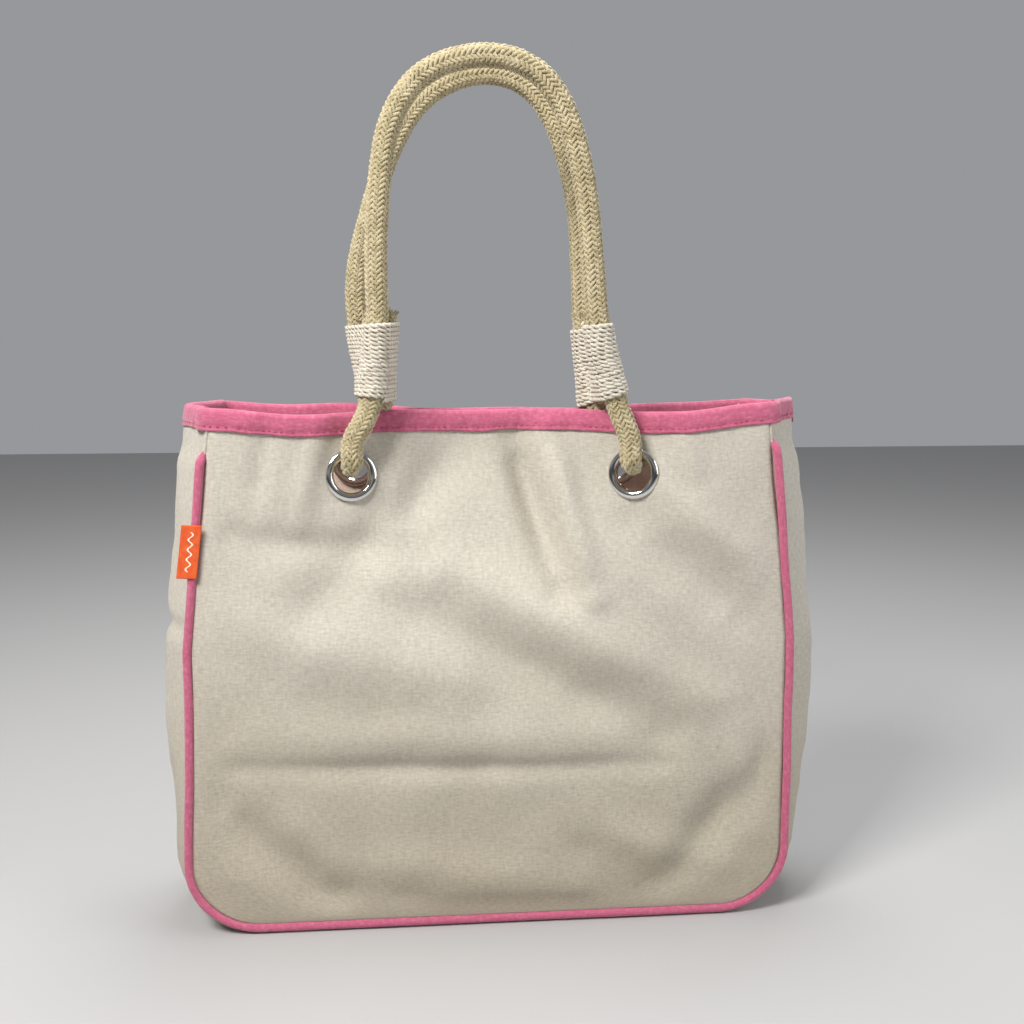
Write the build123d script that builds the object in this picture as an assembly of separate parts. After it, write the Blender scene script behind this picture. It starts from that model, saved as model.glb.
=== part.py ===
from build123d import *
import math
import os

# Soft canvas beach bag with a boxed base, a piped front and back panel, a bound mouth and two
# rope handles. Millimetres, +X to the right, the front faces -Y, +Z up, origin under the middle.

# overall
rimHeight = 340.0          # floor to the top of the bound mouth
seamTop = 180.5            # half width at the panel's side seam, at the mouth
seamMid = 191.5            # the same at mid height
seamLow = 193.0            # and just above the base corners
midHeight = 190.0
cornerRadius = 42.0        # lower corners of the panels
panelBottom = 6.8          # lower edge of the panels, over the base strip
seamDepthLow = 46.0        # half depth of the bag at the base
seamDepthTop = 43.0        # half depth at the mouth's sides

# cloth layers
canvas = 1.4
lining = 0.8
ply = 0.1                  # air between two layers
trim = 1.2                 # binding tape
bindingHeight = 14.0
tapeGap = 0.3              # air under the binding tape

# the mouth is drawn together at the middle
pinch = 36.0
pinchReach = 145.0
pinchStart = 165.0
belly = 5.0

# gusset
gussetFold = 20.0          # how far the side folds stand out
gussetGap = 3.7            # from the seam plane to the gusset's edge, past the piping

# piping
pipingRadius = 3.0
pipingTop = 320.5

# grommets
grommetX = 90.0
grommetZ = 298.0
grommetOuter = 17.0
grommetInner = 11.0
barrelWall = 0.9
flange = 1.2

# rope handles
ropeRadius = 7.5
handleDepth = 36.6         # plane of each handle's main rope
tailDepth = 20.9           # plane of the whipped rope tails
loopInner = 14.9           # plane of the loops' inner legs at the mouth
loopBend = 12.0            # each loop's turn through its grommet
loopTop = 340.0            # top of the fixed loops through the grommets
whipBottom = 347.5
whipTop = 396.0
whipCover = 1.8            # whipping over the rope
tailTop = 402.0

# handle routes, seen from the front: X and Z along the rope, left end first
frontRoute = [(-76.5, 345.5), (-72, 398), (-71, 452), (-64, 502), (-36, 547), (-6, 557.5), (22, 552),
              (50.5, 510), (61, 445), (65.5, 397), (76.5, 345.5)]
backRoute = [(-78, 345.5), (-84, 398), (-83, 448), (-74, 499), (-40, 545), (-6, 557.5), (24, 551.5),
             (55, 509), (65, 445), (67.5, 398), (75, 345.5)]

# label, sewn in the left front seam
labelLow = 238.5
labelHigh = 272.0
labelReach = 13.0
labelThick = 1.0

# press stud at the middle of the mouth
studHeight = 311.0
studRadius = 9.0
studThick = 2.2

os.makedirs("parts", exist_ok=True)


def save(name, shape):
    shape.label = name
    export_step(shape, f"parts/{name}.step")


def seamHalf(z):
    """Half width of a panel at a height, with its rounded lower corners."""
    if z >= midHeight:
        return seamMid + (seamTop - seamMid) * (z - midHeight) / (rimHeight - midHeight)
    half = seamLow + (seamMid - seamLow) * z / midHeight
    drop = panelBottom + cornerRadius - z
    if drop > 0:
        half += math.sqrt(max(cornerRadius ** 2 - drop ** 2, 0)) - cornerRadius
    return half


def seamDepth(z):
    return seamDepthLow + (seamDepthTop - seamDepthLow) * z / rimHeight


def smooth(t):
    t = min(max(t, 0), 1)
    return t * t * (3 - 2 * t)


def wallDepth(x, z):
    """Distance of the panel's outer face in front of the bag's middle plane."""
    side = max(0, 1 - (x / seamHalf(max(z, panelBottom + cornerRadius))) ** 2)
    drawn = pinch * smooth((z - pinchStart) / (rimHeight - pinchStart)) if z > pinchStart else 0
    gather = 0.5 * (1 + math.cos(math.pi * min(abs(x) / pinchReach, 1)))
    return seamDepth(z) + belly * side * math.sin(math.pi * z / rimHeight) - drawn * gather


def stripFace(z, half, near, far):
    """Level section of a front wall layer: near and far are depths in from the outer face."""
    steps = [half * (k / 8 - 1) for k in range(17)]
    outer = [Vector(x, near - wallDepth(x, z), z) for x in steps]
    inner = [Vector(x, far - wallDepth(x, z), z) for x in reversed(steps)]
    rim = [Edge.make_spline(outer), Edge.make_line(outer[-1], inner[0]),
           Edge.make_spline(inner), Edge.make_line(inner[-1], outer[0])]
    return Face(Wire(rim))


def wallLayer(levels, near, far, inset):
    return loft([stripFace(z, seamHalf(z) - inset, near, far) for z in levels], ruled=True)


def backOf(shape):
    return shape.mirror(Plane.XZ)


def panels():
    levels = [panelBottom, 10, 17, 28, 49, 110, 165, 200, 235, 268, 300, 322, rimHeight - trim - ply]
    panel = wallLayer(levels, 0, canvas, 0) - grommetHoles(grommetInner + barrelWall + 0.1)
    skin = wallLayer(levels, canvas + ply, canvas + ply + lining, 2)
    skin -= grommetHoles(grommetInner + barrelWall + 0.1)
    for side, turn in (("front", lambda s: s), ("back", backOf)):
        save(f"{side}_panel", turn(panel))
        save(f"{side}_lining", turn(skin))


def grommetPlane(side):
    """Plane on the wall's outer face at a grommet, looking out of the bag."""
    x, step = side * grommetX, 6.0
    across = Vector(2 * step, wallDepth(x - step, grommetZ) - wallDepth(x + step, grommetZ), 0)
    upward = Vector(0, wallDepth(x, grommetZ - step) - wallDepth(x, grommetZ + step), 2 * step)
    return Plane(Vector(x, -wallDepth(x, grommetZ), grommetZ), x_dir=across, z_dir=across.cross(upward))


def grommetHoles(radius):
    return Part() + [grommetPlane(s) * Cylinder(radius, 40) for s in (-1, 1)]


def grommets():
    seat = 1.0                                # stands off the curved wall on either face
    inside = -(canvas + ply + lining + seat)
    for side, word in ((-1, "left"), (1, "right")):
        plane = grommetPlane(side)
        dome = Cylinder(grommetOuter, flange + 0.4, align=(Align.CENTER, Align.CENTER, Align.MIN))
        dome = fillet(dome.edges().group_by(Axis.Z)[-1], 1.2)
        barrel = Cylinder(grommetInner + barrelWall, seat - inside,
                          align=(Align.CENTER, Align.CENTER, Align.MIN))
        eyelet = Pos(0, 0, seat) * dome + Pos(0, 0, inside) * barrel
        eyelet -= Cylinder(grommetInner, 40)
        washer = Cylinder(grommetOuter - 0.5, flange) - Cylinder(grommetInner, 10)
        washer = Pos(0, 0, inside - flange / 2) * washer
        for name, turn in (("front", lambda s: s), ("back", backOf)):
            save(f"{name}_{word}_eyelet", turn(plane * eyelet))
            save(f"{name}_{word}_washer", turn(plane * washer))


def bindings():
    low = rimHeight - bindingHeight
    levels = [low, low + 6, low + 12, rimHeight - trim]
    inset = 2.2
    tape = wallLayer(levels, -trim - tapeGap, -tapeGap, inset)
    back = canvas + lining + ply + tapeGap
    tape += wallLayer(levels, back, back + trim, inset)
    tape += wallLayer([rimHeight - trim, rimHeight], -trim - tapeGap, back + trim, inset)
    save("front_binding", tape)
    save("back_binding", backOf(tape))


def tube(points, radius, bends=None):
    """Round rod along straight runs joined by tangent arcs; returns it with its radii and length."""
    points = [Vector(*p) for p in points]
    radii, arcs = [], []
    for k in range(1, len(points) - 1):
        before, after = points[k - 1] - points[k], points[k + 1] - points[k]
        half = math.radians(180 - before.get_angle(after)) / 2
        bend = bends[k - 1] if bends else 0.45 * min(before.length, after.length) / math.tan(half)
        reach = bend * math.tan(half)
        start = points[k] + before.normalized() * reach
        end = points[k] + after.normalized() * reach
        inward = (before.normalized() + after.normalized()).normalized()
        top = points[k] + inward * (bend / math.cos(half) - bend)
        radii.append(bend)
        arcs.append((start, top, end))
    edges, here = [], points[0]
    for start, top, end in arcs:
        if (start - here).length > 1e-3:
            edges.append(Edge.make_line(here, start))
        edges.append(Edge.make_three_point_arc(start, top, end))
        here = end
    edges.append(Edge.make_line(here, points[-1]))
    path = Wire(edges)
    ring = Plane(points[0], z_dir=points[1] - points[0]) * Circle(radius)
    return sweep(ring, path), radii, path.length


def report(name, solid, radii, length, radius):
    ideal = math.pi * radius ** 2 * length
    print(f"{name}: length {length:.1f}, volume {solid.volume / ideal:.4f} of section times length,",
          "radii", [round(r, 1) for r in radii])


def pipings():
    reach = pipingRadius + 0.25

    def spot(x, z):
        return (x, -seamDepth(z) + 0.4, z)

    low = panelBottom - reach
    route = [spot(-seamHalf(pipingTop) - reach, pipingTop), spot(-seamMid - reach, midHeight),
             spot(-seamLow - reach, low), spot(seamLow + reach, low),
             spot(seamMid + reach, midHeight), spot(seamHalf(pipingTop) + reach, pipingTop)]
    bends = [400, cornerRadius + reach, cornerRadius + reach, 400]
    solid, radii, length = tube(route, pipingRadius, bends)
    report("piping", solid, radii, length, pipingRadius)
    save("front_piping", solid)
    save("back_piping", backOf(solid))


def gussetStation(s):
    """Point on the gusset's outer outline, its outward direction and how far the fold stands out."""
    edge = seamLow + pipingRadius
    corner = cornerRadius + pipingRadius
    if s <= 1:                                # up a side from the corner to the mouth
        z = corner + s * (rimHeight - corner)
        x = seamHalf(z) + pipingRadius
        fold = gussetFold * (1 - 0.1 * s) * min(1, 0.55 + 1.5 * s)
        return x, z, 1.0, 0.0, fold
    turn = (s - 1) * math.pi / 2              # round the lower corner
    x = edge - corner + corner * math.cos(turn)
    z = corner - corner * math.sin(turn)
    return x, z, math.cos(turn), -math.sin(turn), gussetFold * 0.55 * (1 - (s - 1)) ** 1.5


def gussetSection(side, station, near, far, short=0):
    x, z, outX, outZ, fold = gussetStation(station)
    half = seamDepth(z) - gussetGap
    shape = [(-1, 0), (-0.6, 0.62), (-0.2, 0.96), (0.2, 0.96), (0.6, 0.62), (1, 0)]

    def place(across, rise, depth):
        out = fold * rise - depth
        return Vector(side * (x + outX * out), across * half, z + outZ * out)

    outer = [place(a, r, near) for a, r in shape]
    inner = [place(a, r, far) for a, r in reversed(shape)]
    return Face(Wire.make_polygon(outer + inner, close=True))


def gussetLayer(near, far, top):
    upper = [1, 0.8, 0.6, 0.4, 0.25, 0.1, 0]
    upper = [top if s == 1 else s for s in upper]
    around = [1.17, 1.34, 1.5, 1.67, 1.84, 2]
    run = [gussetSection(1, s, near, far) for s in upper + around]
    other = [gussetSection(-1, s, near, far) for s in reversed(upper + around)]
    return loft(run + other, ruled=True)


def gussets():
    height = rimHeight - cornerRadius - pipingRadius
    save("gusset", gussetLayer(0, canvas, 1 - trim / height))
    save("gusset_lining", gussetLayer(canvas + ply, canvas + ply + lining, 1 - trim / height))
    low = 1 - bindingHeight / height
    levels = [low, low + (1 - low) / 2, 1 - trim / height]
    back = canvas + lining + 2 * ply
    for side, word in ((-1, "left"), (1, "right")):
        tape = loft([gussetSection(side, s, -trim - ply, -ply) for s in levels], ruled=True)
        tape += loft([gussetSection(side, s, back, back + trim) for s in levels], ruled=True)
        tape += loft([gussetSection(side, s, -trim - ply, back + trim) for s in (levels[-1], 1)], ruled=True)
        save(f"{word}_binding", tape)


def handleRopes():
    for name, route, turn in (("front", frontRoute, -1), ("back", backRoute, 1)):
        points = [(x, turn * handleDepth, z) for x, z in route]
        solid, radii, length = tube(points, ropeRadius)
        report(f"{name}_handle_rope", solid, radii, length, ropeRadius)
        save(f"{name}_handle_rope", solid)
        for word, (lowX, lowZ), (highX, highZ) in (("left", route[0], route[1]), ("right", route[-1], route[-2])):
            slope = (highX - lowX) / (highZ - lowZ)

            def spot(z, depth):
                return Vector(lowX + slope * (z - lowZ), turn * depth, z)

            tail = tube([spot(whipBottom - 1, tailDepth), spot(whipTop, tailDepth),
                         spot(tailTop, tailDepth - 0.4)], ropeRadius)[0]
            save(f"{name}_{word}_rope_tail", tail)
            middle = (handleDepth + tailDepth) / 2
            rise = spot(whipTop, middle) - spot(whipBottom, middle)
            plane = Plane(spot(whipBottom, middle), x_dir=(0, 1, 0), z_dir=rise)
            wide = ropeRadius + whipCover
            slot = SlotCenterToCenter(handleDepth - tailDepth, 2 * wide)
            slot -= [Pos(s * (handleDepth - tailDepth) / 2, 0) * Circle(ropeRadius + 0.05) for s in (-1, 1)]
            save(f"{name}_{word}_whipping", extrude(plane * slot, whipTop - whipBottom))


def ropeLoops():
    middle = -(canvas + lining) / 2
    for name, route, turn in (("front", frontRoute, -1), ("back", backRoute, 1)):
        for word, side, (topX, topZ) in (("left", -1, route[0]), ("right", 1, route[-1])):
            plane = grommetPlane(side)

            def spot(up, out):
                point = plane.from_local_coords(Vector(0, up, middle + out))
                return (point.X, -turn * point.Y, point.Z)

            points = [(topX, turn * handleDepth, loopTop), spot(loopBend + 9, loopBend), spot(0, loopBend),
                      spot(0, -loopBend), spot(loopBend + 9, -loopBend),
                      (side * (grommetX - 7), turn * loopInner, loopTop)]
            solid, radii, length = tube(points, ropeRadius, [20, loopBend, loopBend, 20])
            report(f"{name}_{word}_rope_loop", solid, radii, length, ropeRadius)
            save(f"{name}_{word}_rope_loop", solid)


def labels():
    middle = (labelLow + labelHigh) / 2
    depth = seamDepth(middle) + pipingRadius + 0.3
    inner = seamHalf(middle) - 0.5
    plate = Box(labelReach, labelThick, labelHigh - labelLow, align=(Align.MAX, Align.MAX, Align.CENTER))
    save("woven_label", Pos(-inner, -depth, middle) * plate)


def pressStuds():
    outer = wallDepth(0, studHeight) - canvas - lining - 2 * ply - 1.4
    base = Rot(90, 0, 0) * Cylinder(studRadius, studThick, align=(Align.CENTER, Align.CENTER, Align.MAX))
    cap = Rot(90, 0, 0) * Cylinder(studRadius - 3.5, 0.6, align=(Align.CENTER, Align.CENTER, Align.MAX))
    save("front_press_stud", Pos(0, -outer, studHeight) * (base + Pos(0, studThick, 0) * cap))
    save("back_press_stud", backOf(Pos(0, -outer, studHeight) * base))


panels()
grommets()
bindings()
pipings()
gussets()
handleRopes()
ropeLoops()
labels()
pressStuds()
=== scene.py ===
import math

import bmesh
import bpy
from mathutils import Matrix, Vector, noise


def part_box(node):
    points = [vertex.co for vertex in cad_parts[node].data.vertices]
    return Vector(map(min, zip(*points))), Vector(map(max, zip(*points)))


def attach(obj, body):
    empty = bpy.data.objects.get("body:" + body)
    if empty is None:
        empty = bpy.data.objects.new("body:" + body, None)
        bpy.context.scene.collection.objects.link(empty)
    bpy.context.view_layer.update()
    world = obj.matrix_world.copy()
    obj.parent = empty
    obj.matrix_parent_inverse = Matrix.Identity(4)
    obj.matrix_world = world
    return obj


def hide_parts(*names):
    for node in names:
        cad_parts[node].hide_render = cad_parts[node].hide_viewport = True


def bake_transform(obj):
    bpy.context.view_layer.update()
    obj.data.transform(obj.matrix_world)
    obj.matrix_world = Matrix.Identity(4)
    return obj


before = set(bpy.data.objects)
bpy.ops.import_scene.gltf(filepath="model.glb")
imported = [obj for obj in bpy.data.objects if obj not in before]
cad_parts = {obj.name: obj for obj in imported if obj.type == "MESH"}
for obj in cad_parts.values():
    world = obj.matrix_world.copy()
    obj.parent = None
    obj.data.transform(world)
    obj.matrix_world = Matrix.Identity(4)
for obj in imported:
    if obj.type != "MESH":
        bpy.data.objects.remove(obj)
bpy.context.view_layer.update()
noise.seed_set(5)     # the vector noise would otherwise change from run to run

# overall shape of the bag, in metres
bag = {
    "rim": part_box("front_binding")[1][2],     # top of the mouth
    "seamTop": 0.1752, "seamMid": 0.1915, "seamLow": 0.193, "midHeight": 0.190,
    "corner": 0.042, "panelLow": 0.0068,
    "depthLow": 0.046, "depthTop": 0.043,
    "pinch": 0.0388, "pinchReach": 0.150, "pinchStart": 0.165, "belly": 0.005,
    "groove": 0.0022, "grooveFrom": 0.250, "calmFrom": 0.300, "calmHalf": 0.035,
    "slump": 0.022, "slumpBelow": 0.170, "foldSize": 1.6,
    "liftFrom": 0.150, "liftOver": 0.190, "cornerFrom": 0.120, "cornerOver": 0.075,
    "frontCorners": (0.0045, 0.0075), "backCorners": 0.004, "backRise": 0.0015,
}
sides = ((-1, "front"), (1, "back"))
hands = ((-1, "left"), (1, "right"))


def smooth(t):
    t = min(max(t, 0.0), 1.0)
    return t * t * (3 - 2 * t)


def seamHalf(z):
    if z >= bag["midHeight"]:
        t = (z - bag["midHeight"]) / (bag["rim"] - bag["midHeight"])
        return bag["seamMid"] + (bag["seamTop"] - bag["seamMid"]) * t
    half = bag["seamLow"] + (bag["seamMid"] - bag["seamLow"]) * max(z, 0) / bag["midHeight"]
    drop = bag["panelLow"] + bag["corner"] - z
    if drop > 0:
        half += math.sqrt(max(bag["corner"] ** 2 - drop ** 2, 0)) - bag["corner"]
    return half


def seamDepth(z):
    return bag["depthLow"] + (bag["depthTop"] - bag["depthLow"]) * z / bag["rim"]


# soft folds in each wall: from and to (x, z), width and how far they stand out (+) or in (-)
folds = {
    -1: [((0.014, 0.322), (0.042, 0.225), 0.010, -0.0090), ((0.034, 0.326), (0.064, 0.222), 0.010, 0.0080),
         ((-0.030, 0.240), (0.132, 0.158), 0.017, 0.0052), ((-0.050, 0.212), (0.110, 0.128), 0.015, -0.0048),
         ((-0.020, 0.318), (-0.115, 0.218), 0.017, -0.0058),
         ((-0.058, 0.318), (-0.070, 0.235), 0.011, 0.0036),
         ((-0.165, 0.262), (-0.045, 0.250), 0.011, -0.0030),
         ((-0.165, 0.112), (0.110, 0.108), 0.007, -0.0027),
         ((-0.160, 0.132), (0.090, 0.130), 0.014, 0.0022), ((-0.150, 0.205), (-0.030, 0.170), 0.022, 0.0034),
         ((0.092, 0.268), (0.160, 0.205), 0.014, -0.0044), ((0.108, 0.290), (0.172, 0.236), 0.011, 0.0030),
         ((-0.176, 0.085), (-0.105, 0.022), 0.015, -0.0052), ((0.180, 0.105), (0.110, 0.020), 0.016, -0.0060),
         ((0.150, 0.150), (0.172, 0.060), 0.012, 0.0034), ((0.060, 0.070), (0.150, 0.036), 0.014, 0.0030),
         ((-0.100, 0.046), (0.050, 0.030), 0.016, 0.0030), ((-0.108, 0.336), (-0.124, 0.268), 0.008, 0.0026),
         ((0.120, 0.336), (0.133, 0.286), 0.008, 0.0026), ((-0.140, 0.334), (-0.150, 0.280), 0.007, -0.0022)],
    1: [((0.005, 0.330), (-0.070, 0.210), 0.016, -0.0062), ((-0.030, 0.335), (-0.055, 0.250), 0.010, 0.0048),
        ((0.030, 0.320), (0.125, 0.220), 0.015, -0.0055), ((-0.150, 0.240), (0.000, 0.190), 0.016, 0.0038),
        ((-0.160, 0.110), (0.020, 0.100), 0.013, -0.0040), ((0.020, 0.120), (0.160, 0.130), 0.013, 0.0036),
        ((0.175, 0.075), (0.115, 0.018), 0.014, -0.0046), ((-0.176, 0.075), (-0.120, 0.018), 0.013, -0.0044)],
}


def foldDepth(side, x, z):
    total = 0.0
    for (ax, az), (bx, bz), width, depth in folds[side]:
        dx, dz = bx - ax, bz - az
        along = ((x - ax) * dx + (z - az) * dz) / (dx * dx + dz * dz)
        t = min(max(along, 0.0), 1.0)
        gap = math.hypot(x - ax - dx * t, z - az - dz * t) / width
        fade = 0.35 + 0.65 * math.sin(math.pi * min(max(t, 0.08), 0.92))
        total += bag["foldSize"] * depth * math.exp(-gap * gap) * fade
    return total


# broad, middling and small unevenness of the cloth: how often it changes across and up, shift and depth
unevenness = ((15, 13, 0, 0.0042), (34, 30, 4, 0.0015), (80, 70, 7, 0.00035))


def clothNoise(x, z, seed):
    return sum(noise.noise(Vector((x * across, seed + shift, z * up))) * depth
               for across, up, shift, depth in unevenness)


def rimLift(side, x):
    # the mouth rises towards its corners, and the back of it a little at the left as well
    corners = smooth((abs(x) - bag["cornerFrom"]) / bag["cornerOver"])
    if side < 0:
        shape = bag["frontCorners"][0 if x < 0 else 1] * corners
    else:
        shape = bag["backRise"] * math.exp(-((x + 0.10) / 0.06) ** 2) + bag["backCorners"] * corners
    return shape + 0.0007 * math.sin(x * 60 + side)


def liftAt(side, x, z):
    # the walls take up the rise of the mouth over their upper part
    return rimLift(side, x) * smooth((z - bag["liftFrom"]) / bag["liftOver"])


def wallDepth(side, x, z):
    across = abs(x) / seamHalf(max(z, bag["panelLow"] + bag["corner"]))
    edge = smooth((1 - min(across, 1)) / 0.10) * smooth((z - bag["panelLow"]) / 0.020)
    depth = seamDepth(z) + bag["belly"] * max(0, 1 - across ** 2) * math.sin(math.pi * min(z / bag["rim"], 1))
    gather = 0.5 * (1 + math.cos(math.pi * min(abs(x) / bag["pinchReach"], 1)))
    drawn = bag["pinch"] * smooth((z - bag["pinchStart"]) / (bag["rim"] - bag["pinchStart"])) * gather
    calm = 1 - 0.75 * smooth((z - bag["calmFrom"]) / 0.035) * math.exp(-(x / bag["calmHalf"]) ** 2)
    groove = bag["groove"] * math.exp(-((seamHalf(z) - abs(x)) / bag["groove"]) ** 2)
    groove *= smooth((z - bag["grooveFrom"]) / 0.040)
    return depth - drawn - groove + edge * calm * (foldDepth(side, x, z) + clothNoise(x, z, side * 3.1))


def sagged(x, z):
    # the bag has slumped a little to its left at the bottom
    return x * (1 + bag["slump"] * smooth((bag["slumpBelow"] - z) / 0.150)) if x < 0 else x


def wallPoint(side, x, z, out):
    # a point on a wall, out along Y from the cloth's outer face
    return Vector((sagged(x, z), side * (wallDepth(side, x, z) + out), z + liftAt(side, x, z)))


# materials
def newMaterial(name):
    material = bpy.data.materials.new(name)
    material.use_nodes = True
    return material, material.node_tree, material.node_tree.nodes["Principled BSDF"]


def addNode(tree, kind, **values):
    node = tree.nodes.new(kind)
    for key, value in values.items():
        if key in node.inputs:
            node.inputs[key].default_value = value
        else:
            setattr(node, key, value)
    return node


def setInputs(node, values):
    for key, value in values.items():
        node.inputs[key].default_value = value


def colourRamp(tree, stops):
    ramp = tree.nodes.new("ShaderNodeValToRGB")
    while len(ramp.color_ramp.elements) < len(stops):
        ramp.color_ramp.elements.new(0.5)
    for element, (place, colour) in zip(ramp.color_ramp.elements, stops):
        element.position = place
        element.color = (*colour, 1)
    return ramp


def mixColour(tree, kind, factor, a, b):
    mix = tree.nodes.new("ShaderNodeMix")
    mix.data_type = "RGBA"
    mix.blend_type = kind
    for socket, value in ((mix.inputs[0], factor), (mix.inputs[6], a), (mix.inputs[7], b)):
        if hasattr(value, "links"):
            tree.links.new(value, socket)
        elif isinstance(value, (int, float)):
            socket.default_value = value
        else:
            socket.default_value = (*value, 1)
    return mix.outputs[2]


def mathNode(tree, kind, *values):
    node = tree.nodes.new("ShaderNodeMath")
    node.operation = kind
    for socket, value in zip(node.inputs, values):
        if hasattr(value, "links"):
            tree.links.new(value, socket)
        else:
            socket.default_value = value
    return node.outputs[0]


def addBump(tree, shader, height, strength, distance):
    bump = addNode(tree, "ShaderNodeBump", Strength=strength, Distance=distance)
    tree.links.new(height, bump.inputs["Height"])
    tree.links.new(bump.outputs[0], shader.inputs["Normal"])


def srgb(r, g, b):
    return tuple(((c / 255) / 12.92 if c <= 10 else ((c / 255 + 0.055) / 1.055) ** 2.4) for c in (r, g, b))


# the label's woven mark, in metres of its cloth
mark = {"wave": 0.0062, "swing": 0.0013, "middle": -0.0066, "halfWidth": 0.00055, "halfLength": 0.0125}


def wavyMark(tree, uv):
    # one wavy line up the middle of the label's face
    parts = tree.nodes.new("ShaderNodeSeparateXYZ")
    tree.links.new(uv, parts.inputs[0])
    across, up = parts.outputs[0], parts.outputs[1]
    wave = mathNode(tree, "SINE", mathNode(tree, "MULTIPLY", up, math.tau / mark["wave"]))
    centre = mathNode(tree, "MULTIPLY_ADD", wave, mark["swing"], mark["middle"])
    off = mathNode(tree, "ABSOLUTE", mathNode(tree, "SUBTRACT", across, centre))
    line = mathNode(tree, "LESS_THAN", off, mark["halfWidth"])
    inside = mathNode(tree, "LESS_THAN", mathNode(tree, "ABSOLUTE", up), mark["halfLength"])
    return mathNode(tree, "MULTIPLY", line, inside)


def wovenCloth(name, look):
    # plain weave on the piece's own cloth UV, in metres: threads, slubs, flecks and slow colour drift
    material, tree, shader = newMaterial(name)
    uv = addNode(tree, "ShaderNodeUVMap", uv_map="cloth").outputs[0]

    def scaled(x, y):
        mapping = addNode(tree, "ShaderNodeMapping", Scale=(x, y, 1))
        tree.links.new(uv, mapping.inputs["Vector"])
        return mapping.outputs[0]

    def noiseOn(vector, scale, detail=3.0, rough=0.6):
        node = addNode(tree, "ShaderNodeTexNoise", Scale=scale, Detail=detail, Roughness=rough)
        tree.links.new(vector, node.inputs["Vector"])
        return node.outputs[0]

    def threads(vector, direction):
        wave = addNode(tree, "ShaderNodeTexWave", wave_type="BANDS", bands_direction=direction,
                       Scale=look["threads"], Distortion=0.9, Detail=1.0)
        wave.inputs["Detail Scale"].default_value = 0.35
        tree.links.new(vector, wave.inputs["Vector"])
        return wave.outputs["Fac"]

    plain = scaled(1, 1)
    warp, weft = threads(plain, "X"), threads(plain, "Y")
    weave = mathNode(tree, "MULTIPLY", warp, weft)
    slub = noiseOn(scaled(1, look["slubStretch"]), look["slubScale"], 4.0)
    slubUp = noiseOn(scaled(look["slubStretch"], 1), look["slubScale"] * 0.8, 3.0)
    drift = noiseOn(plain, 9, 2.0)
    fleckNoise = noiseOn(scaled(1, 2.2), look["fleckScale"], 2.0, 0.7)
    fleck = colourRamp(tree, [(look["fleckAt"], (0, 0, 0)), (look["fleckAt"] + 0.05, (1, 1, 1))])
    tree.links.new(fleckNoise, fleck.inputs[0])
    base = colourRamp(tree, [(0.25, look["dark"]), (0.5, look["mid"]), (0.75, look["light"])])
    mixIn = mathNode(tree, "ADD", mathNode(tree, "MULTIPLY", slub, 0.62),
                     mathNode(tree, "MULTIPLY", slubUp, 0.38))
    tree.links.new(mixIn, base.inputs[0])
    drifted = mixColour(tree, "MULTIPLY", 0.55, base.outputs[0],
                        mixColour(tree, "MIX", drift, look["driftLow"], look["driftHigh"]))
    gaps = mathNode(tree, "MULTIPLY", mathNode(tree, "SUBTRACT", 1.0, weave), look["gaps"])
    shaded = mixColour(tree, "MULTIPLY", gaps, drifted, look["gapColour"])
    flecks = mathNode(tree, "MULTIPLY", fleck.outputs[0], look["fleckMix"])
    flecked = mixColour(tree, "MIX", flecks, shaded, look["fleck"])
    if "mark" in look:
        flecked = mixColour(tree, "MIX", wavyMark(tree, uv), flecked, look["mark"])
    if "toe" in look:
        # painted shade: the canvas is darkened and yellowed towards the foot of the bag, unevenly
        parts = tree.nodes.new("ShaderNodeSeparateXYZ")
        tree.links.new(addNode(tree, "ShaderNodeTexCoord").outputs["Object"], parts.inputs[0])
        uneven = mathNode(tree, "MULTIPLY", mathNode(tree, "SUBTRACT", drift, 0.5), 0.12)
        toe = colourRamp(tree, [(0.03, look["toe"]), (0.21, (1, 1, 1))])
        tree.links.new(mathNode(tree, "ADD", parts.outputs[2], uneven), toe.inputs[0])
        flecked = mixColour(tree, "MULTIPLY", 1.0, flecked, toe.outputs[0])
    tree.links.new(flecked, shader.inputs["Base Color"])
    rough = mathNode(tree, "ADD", mathNode(tree, "MULTIPLY", slub, 0.10), look["roughness"])
    tree.links.new(rough, shader.inputs["Roughness"])
    setInputs(shader, {"Sheen Weight": look["sheen"], "Sheen Roughness": 0.5, "Specular IOR Level": 0.25})
    height = mathNode(tree, "ADD", mathNode(tree, "MULTIPLY", weave, look["weaveBump"]),
                      mathNode(tree, "MULTIPLY", mixIn, look["slubBump"]))
    addBump(tree, shader, height, look["bump"], 0.0006)
    return material


def metal(name, colour, roughness):
    material, tree, shader = newMaterial(name)
    coords = addNode(tree, "ShaderNodeTexCoord").outputs["Object"]
    grime = addNode(tree, "ShaderNodeTexNoise", Scale=260, Detail=3.0)
    tree.links.new(coords, grime.inputs["Vector"])
    tone = mixColour(tree, "MIX", grime.outputs[0], tuple(c * 0.93 for c in colour), colour)
    tree.links.new(tone, shader.inputs["Base Color"])
    shader.inputs["Metallic"].default_value = 1.0
    rough = mathNode(tree, "ADD", mathNode(tree, "MULTIPLY", grime.outputs[0], 0.05), roughness)
    tree.links.new(rough, shader.inputs["Roughness"])
    fine = addNode(tree, "ShaderNodeTexNoise", Scale=1800, Detail=2.0)
    tree.links.new(coords, fine.inputs["Vector"])
    addBump(tree, shader, fine.outputs[0], 0.04, 0.0001)
    return material


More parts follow.
